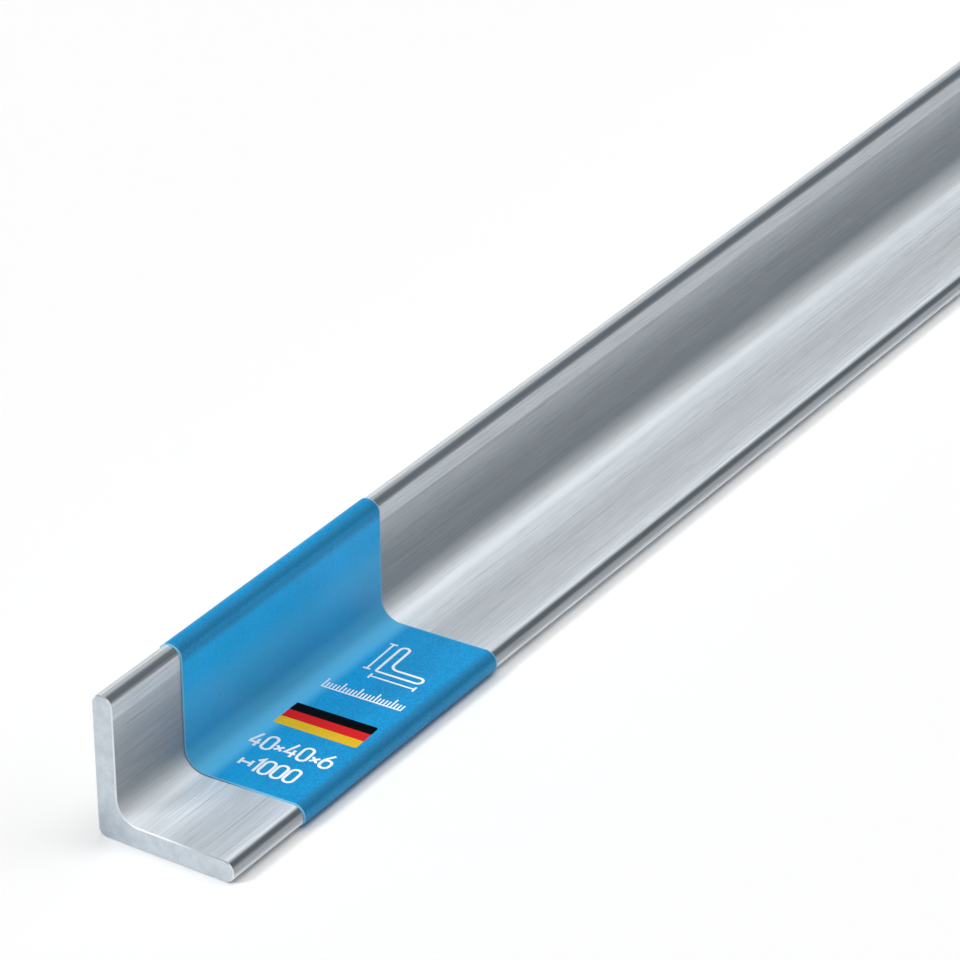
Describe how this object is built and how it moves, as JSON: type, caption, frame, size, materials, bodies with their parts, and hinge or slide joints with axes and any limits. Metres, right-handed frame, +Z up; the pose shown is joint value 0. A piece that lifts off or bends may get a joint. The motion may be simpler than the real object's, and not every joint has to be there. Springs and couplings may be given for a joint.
{
  "type": "steel angle section",
  "caption": "Straight equal-leg steel angle with a filleted inside corner, full-round toes, square sawn ends and a label film folded over its inner side.",
  "frame": {"origin": "middle of the footprint on the floor, halfway along the bar", "axes": "+X along the bar, away from the labelled end; +Y towards the back of the upright leg; +Z up, the upright leg's way"},
  "size_m": [1, 0.0404, 0.0403],
  "materials": {
    "steel": "bright ground steel with fine lengthwise brushing",
    "label_film": "blue satin label film"
  },
  "bodies": {
    "root": {"angle_bar": "steel", "label": "label_film"}
  },
  "joints": []
}
